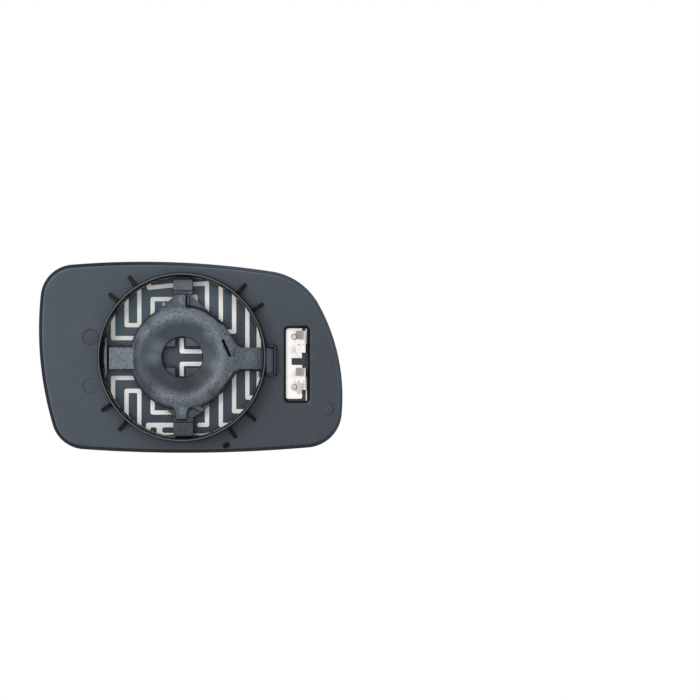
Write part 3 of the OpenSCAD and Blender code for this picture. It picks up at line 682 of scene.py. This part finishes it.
def bridge(bm, a, b):
    """Faces between two closed rows of vertices."""
    n = len(a)
    for i in range(n):
        j = (i + 1) % n
        bm.faces.new((a[i], a[j], b[j], b[i]))


def loft(bm, rows, closed=False):
    """Skin over closed rows of vertices: with flat ends, or back to the first row."""
    for a, b in zip(rows, rows[1:]):
        bridge(bm, a, b)
    if closed:
        bridge(bm, rows[-1], rows[0])
    else:
        bm.faces.new(rows[0])
        bm.faces.new(rows[-1])


def domed_sheet(name, edge, rings):
    """Closed sheet on the curved layers. Edge runs over its border as (inset, depth),
    from the front face round to the back face."""
    bm = bmesh.new()
    # the rings of faces close in on this point, near the middle of the outline
    heart = Vector((4.5, 0.0))
    rows = [verts(bm, on_layer(outline(inset), depth)) for inset, depth in edge]
    for a, b in zip(rows, rows[1:]):
        bridge(bm, a, b)
    for row, (inset, depth) in ((rows[0], edge[0]), (rows[-1], edge[-1])):
        rim = outline(inset)
        for k in range(rings - 1, 0, -1):
            inner = verts(bm, on_layer([heart + (p - heart) * (k / rings) for p in rim], depth))
            bridge(bm, row, inner)
            row = inner
        middle = bm.verts.new(on_layer([heart], depth)[0])
        for i in range(len(row)):
            bm.faces.new((middle, row[i], row[(i + 1) % len(row)]))
    return finished(bm, name)


def lathe(name, profile, steps=240):
    """Closed ring of a closed profile given as (radius, height on the bench)."""
    bm = bmesh.new()
    turns = [polar(1, 360 * i / steps) for i in range(steps)]
    loft(bm, [verts(bm, [at(r * turn.x, r * turn.y, h) for r, h in profile]) for turn in turns],
         closed=True)
    return finished(bm, name)


def block(bm, points, low, high, turn=0.0, centre=(0, 0)):
    """Prism of an outline in bench millimetres, between two heights, added to bm."""
    def spot(q, h):
        p = Vector(centre) + Vector((q[0] * math.cos(turn) - q[1] * math.sin(turn),
                                     q[0] * math.sin(turn) + q[1] * math.cos(turn)))
        return at(p.x, p.y, h)
    loft(bm, [verts(bm, [spot(q, h) for q in points]) for h in (low, high)])


def upright(bm, points, thick, turn):
    """Prism of a standing outline given as (radius, height), across a spoke at this angle."""
    d, n = polar(1, turn), polar(thick / 2, turn + 90)
    loft(bm, [verts(bm, [at(d.x * r + s * n.x, d.y * r + s * n.y, h) for r, h in points])
              for s in (-1, 1)])


def rectangle(left, right, bottom, top):
    return [(left, bottom), (right, bottom), (right, top), (left, top)]


def rounded(left, right, bottom, top, radius, steps=8):
    corners = ((right - radius, top - radius, 0), (left + radius, top - radius, 90),
               (left + radius, bottom + radius, 180), (right - radius, bottom + radius, 270))
    return [Vector((x, y)) + polar(radius, start + 90 * k / steps)
            for x, y, start in corners for k in range(steps + 1)]


def circle(radius, steps=180, centre=(0, 0)):
    return [Vector(centre) + polar(radius, 360 * i / steps) for i in range(steps)]


def prism_mesh(points, low=-15.0, high=40.0):
    """Cutter between two heights. By default it goes right through the part."""
    bm = bmesh.new()
    block(bm, points, low, high)
    return finished(bm, "prism")


def evaluated(obj, name):
    """The mesh with its modifiers applied. The working object goes away."""
    graph = bpy.context.evaluated_depsgraph_get()
    result = bpy.data.meshes.new_from_object(obj.evaluated_get(graph))
    result.name = name
    bpy.data.objects.remove(obj)
    return result


def cut(mesh, cutter_mesh, name, operation="DIFFERENCE"):
    obj, cutter = link(name, mesh), link(name + "_cutter", cutter_mesh)
    modifier = obj.modifiers.new("cut", "BOOLEAN")
    modifier.operation, modifier.solver, modifier.object = operation, "EXACT", cutter
    result = evaluated(obj, name)
    bpy.data.objects.remove(cutter)
    return result


def soften(mesh, name, voxel, passes, keep):
    """Soft moulded edges: a surface of voxels in millimetres, smoothed, then thinned out."""
    obj = link(name, mesh)
    remesh = obj.modifiers.new("voxel", "REMESH")
    remesh.mode, remesh.voxel_size, remesh.use_smooth_shade = "VOXEL", voxel * MM, True
    smooth = obj.modifiers.new("smooth", "SMOOTH")
    smooth.factor, smooth.iterations = 0.5, passes
    thin = obj.modifiers.new("thin", "DECIMATE")
    thin.ratio = keep
    return evaluated(obj, name)


def bevelled(mesh, name, width):
    obj = link(name, mesh)
    bevel = obj.modifiers.new("bevel", "BEVEL")
    bevel.width, bevel.segments, bevel.limit_method = width * MM, 3, "ANGLE"
    bevel.angle_limit = math.radians(30)
    return evaluated(obj, name)


# smooth glass, with two flat rows at its border so that the rounding doesn't shade the face
add_piece("mirror_glass_smooth", domed_sheet("mirror_glass_smooth", [
    (RIM_WALL + 1.3, 0.0), (RIM_WALL + 0.7, 0.0), (RIM_WALL + 0.25, 0.02), (RIM_WALL + 0.08, 0.1),
    (RIM_WALL + 0.02, 0.25), (RIM_WALL + 0.02, GLASS - 0.2), (RIM_WALL + 0.15, GLASS - 0.02)],
    rings=26), MIRROR, "mirror_glass")


# back plate, as four pieces
def rim_mesh():
    """Standing rim, lip over the glass and stepped band, swept along the outline."""
    back = PLATE_BACK - BAND_DROP
    profile = [(3.1, 0.0), (3.1, -0.3), (3.0, -0.5), (2.75, -0.68), (2.4, -0.8), (2.0, -0.87),
               (1.5, -0.89), (1.0, -0.84), (0.6, -0.68), (0.3, -0.42), (0.12, -0.1), (0.06, 0.3),
               (0.06, 0.9), (0.06, back - 0.75), (0.06, back - 0.45), (0.18, back - 0.2),
               (0.38, back - 0.05), (0.65, back), (BAND_WIDE - 0.3, back),
               (BAND_WIDE - 0.08, back + 0.03), (BAND_WIDE + 0.4, back + 0.03),
               (BAND_WIDE + 0.4, GLUE_BACK + 0.2),
               (RIM_WALL, GLUE_BACK + 0.1), (RIM_WALL, 0.0)]
    bm = bmesh.new()
    loft(bm, [verts(bm, on_layer(outline(inset), depth)) for inset, depth in profile], closed=True)
    return finished(bm, "rim")


def plate_mesh():
    """Domed plate inside the band, with the ring opening, the window and the ejector marks."""
    mesh = domed_sheet("plate", [
        (BAND_WIDE + 0.1, GLUE_BACK + 0.01), (BAND_WIDE - 0.1, GLUE_BACK + 0.1),
        (BAND_WIDE - 0.1, PLATE_BACK - 0.4), (BAND_WIDE, PLATE_BACK - 0.27),
        (BAND_WIDE + 0.25, PLATE_BACK - 0.13), (BAND_WIDE + 0.55, PLATE_BACK - 0.03),
        (BAND_WIDE + 0.85, PLATE_BACK)], rings=30)
    for u, v, radius in MARKS:
        depth = lift(u, v, PLATE_BACK) - MARK_DEEP
        disc = prism_mesh(circle(radius, 64, (u, v)), depth, depth + 3)
        core = prism_mesh(circle(radius - MARK_WIDE, 64, (u, v)), depth - 1, depth + 4)
        mesh = cut(mesh, cut(disc, core, "groove"), "plate")
    mesh = cut(mesh, prism_mesh(circle(RING_IN + 0.8)), "plate")
    mesh = cut(mesh, prism_mesh(rounded(*WINDOW, WINDOW_ROUND)), "plate")
    # chamfer round the window, in steps that follow the dome
    left, right, low, high = WINDOW
    bm = bmesh.new()
    rows = []
    for grow, drop in ((-0.2, -2.0), (0.0, -0.75), (0.32, -0.18), (0.62, 0.05), (0.8, 2.0)):
        border = rounded(left - grow, right + grow, low - grow, high + grow, WINDOW_ROUND + grow)
        rows.append(verts(bm, [at(p.x, p.y, lift(p.x, p.y, PLATE_BACK) + drop) for p in border]))
    loft(bm, rows)
    return cut(mesh, finished(bm, "chamfer"), "plate")


def ring_mesh():
    """Ring wall with a round top, eight gussets, the catch and the peg."""
    half = (RING_OUT - RING_IN) / 2
    middle = RING_IN + half
    profile = [(RING_IN, GLUE_BACK + 0.82), (RING_OUT, GLUE_BACK + 0.9)]
    profile += [(middle + half * math.cos(math.radians(t)),
                 RING_TOP - half + half * math.sin(math.radians(t))) for t in range(0, 181, 18)]
    ring = lathe("ring", profile)
    bm = bmesh.new()
    foot = RING_OUT + GUSSET_LONG
    shape = [(middle, GUSSET_FROM), (foot, GUSSET_FROM), (foot, RING_SEAT + GUSSET_END),
             (foot - SHOULDER_LONG, RING_SEAT + SHOULDER_HIGH), (middle, RING_SEAT + GUSSET_HIGH)]
    for quarter in range(4):
        for side in (-1, 1):
            upright(bm, shape, GUSSET_THICK, GUSSET_TURN + 90 * quarter + side * GUSSET_HALF)
    for sides in ((middle, CATCH_FAR, CATCH_TOP - CATCH_RIB, CATCH_TOP),
                  (middle, CATCH_FAR, CATCH_BOTTOM, CATCH_BOTTOM + CATCH_RIB),
                  (CATCH_FAR - CATCH_RIB, CATCH_FAR, CATCH_BOTTOM, CATCH_TOP)):
        block(bm, rectangle(*sides), RIB_FROM, RING_SEAT + CATCH_HIGH)
    w, h = PEG_HALF
    block(bm, rectangle(-w, w, -h, h), RIB_FROM, RING_SEAT + PEG_HIGH, math.radians(PEG_TURN), PEG_AT)
    ribs = bevelled(finished(bm, "ribs"), "ribs", RIB_BEVEL)
    # sloping floor of the catch
    bm = bmesh.new()
    far = CATCH_FAR - CATCH_RIB / 2
    slope = ((middle, FLOOR_FROM), (far, FLOOR_FROM), (far, RING_SEAT + SLOPE_FAR),
             (middle, RING_SEAT + SLOPE_NEAR))
    loft(bm, [verts(bm, [at(r, v, h) for r, h in slope])
              for v in (CATCH_BOTTOM + CATCH_RIB / 2, CATCH_TOP - CATCH_RIB / 2)])
    catch_floor = finished(bm, "catch_floor")
    bm = bmesh.new()
    for mesh in (ring, ribs, catch_floor):
        bm.from_mesh(mesh)
    return finished(bm, "ring_and_ribs")


def dish_mesh():
    """The dish and its arms from the solid, with soft moulded edges."""
    mesh = nodes["back_plate"].data.copy()
    bm = bmesh.new()
    bm.from_mesh(mesh)
    bmesh.ops.remove_doubles(bm, verts=bm.verts, dist=0.002 * MM)
    bm.to_mesh(mesh)
    bm.free()
    mesh = cut(mesh, prism_mesh(circle(RING_IN + 2 * ARM_IN_WALL)), "dish_and_arms", "INTERSECT")
    # the ring's wall is a piece of its own, and the arms end inside it
    inside, outside = RING_IN + ARM_IN_WALL, RING_IN + 3
    wall = lathe("wall", [(inside, -2), (outside, -2), (outside, 30), (inside, 30)], 120)
    mesh = cut(mesh, wall, "dish_and_arms")
    return soften(mesh, "dish_and_arms", 0.28, passes=3, keep=0.5)


for name, mesh, material in (("rim", rim_mesh(), RIM_PLASTIC), ("plate", plate_mesh(), PLATE_PLASTIC),
                             ("ring_and_ribs", ring_mesh(), RING_PLASTIC),
                             ("dish_and_arms", dish_mesh(), DISH_PLASTIC)):
    add_piece(name, mesh, material, "back_plate")
    if name in ("plate", "ring_and_ribs"):
        mesh.set_sharp_from_angle(angle=math.radians(40))


# stage, light and camera, in metres and watts
def area(name, place, size, power, colour=(1, 1, 1)):
    """Lamp that shines on the middle of the part."""
    lamp = bpy.data.lights.new(name, "AREA")
    lamp.shape, lamp.size, lamp.size_y = "RECTANGLE", *size
    lamp.energy, lamp.color = power, colour
    obj = link(name, lamp)
    obj.location = place
    obj.rotation_euler = (-Vector(place)).to_track_quat("-Z", "Y").to_euler()
    obj.visible_camera = False


area("top", (0.30, 0.60, 0.70), (0.6, 0.35), 3.6)
area("left", (0.60, 0.60, 0.20), (0.35, 0.5), 2.6)
area("right", (-0.85, 0.60, -0.20), (0.35, 0.35), 1.2, colour=(0.9, 0.96, 1.0))
area("front", (0.2, -1.1, 0.7), (0.9, 0.6), 8.0)

# white world, dimmer as a light than where it is seen or mirrored
AMBIENT, SEEN = 0.55, 1.0
world = bpy.data.worlds.new("studio")
bpy.context.scene.world = world
world.use_nodes = True
wt = world.node_tree
path = wt.nodes.new("ShaderNodeLightPath")
rays = [path.outputs[kind + " Ray"] for kind in ("Is Camera", "Is Glossy", "Is Transmission")]
shown = rays[0]
for ray in rays[1:]:
    either = wt.nodes.new("ShaderNodeMath")
    either.operation = "MAXIMUM"
    wt.links.new(shown, either.inputs[0])
    wt.links.new(ray, either.inputs[1])
    shown = either.outputs[0]
strength = wt.nodes.new("ShaderNodeMapRange")
wt.links.new(shown, strength.inputs["Value"])
strength.inputs["To Min"].default_value = AMBIENT
strength.inputs["To Max"].default_value = SEEN
background = wt.nodes["Background"]
wt.links.new(strength.outputs[0], background.inputs["Strength"])
background.inputs["Color"].default_value = (1, 1, 1, 1)

FLOOR = -0.32
floor_mesh = bpy.data.meshes.new("floor")
floor_mesh.from_pydata([(x, y, FLOOR) for x, y in rectangle(-1.2, 1.2, -0.45, 1.0)],
                       [], [(0, 1, 2, 3)])
floor = link("floor", floor_mesh)
ft = Tree("pale_floor")
cloud = ft.ramp(ft.noise(6, 2, 0.5), 0.3, 0.7)
ft.set(Base_Color=ft.mix(cloud, (0.8, 0.8, 0.8, 1), (0.84, 0.84, 0.84, 1)), Roughness=0.8)
floor_mesh.materials.append(ft.mat)

# photograph: its width at the plate, and how far right of the ring's axis and above it its middle is
FIELD, AIM_U, AIM_V = 0.4103, 0.0982, 0.0042
DISTANCE, SENSOR = 1.2, 36
camera = bpy.data.cameras.new("camera")
camera.sensor_width = SENSOR
camera.lens = SENSOR * DISTANCE / FIELD
camera.clip_start, camera.clip_end = 0.05, 20
cam = link("camera", camera)
cam.location = (-AIM_U, DISTANCE, AIM_V)
cam.rotation_euler = (math.radians(90), 0, math.radians(180))
bpy.context.scene.camera = cam
bpy.context.scene.view_settings.view_transform = "Standard"
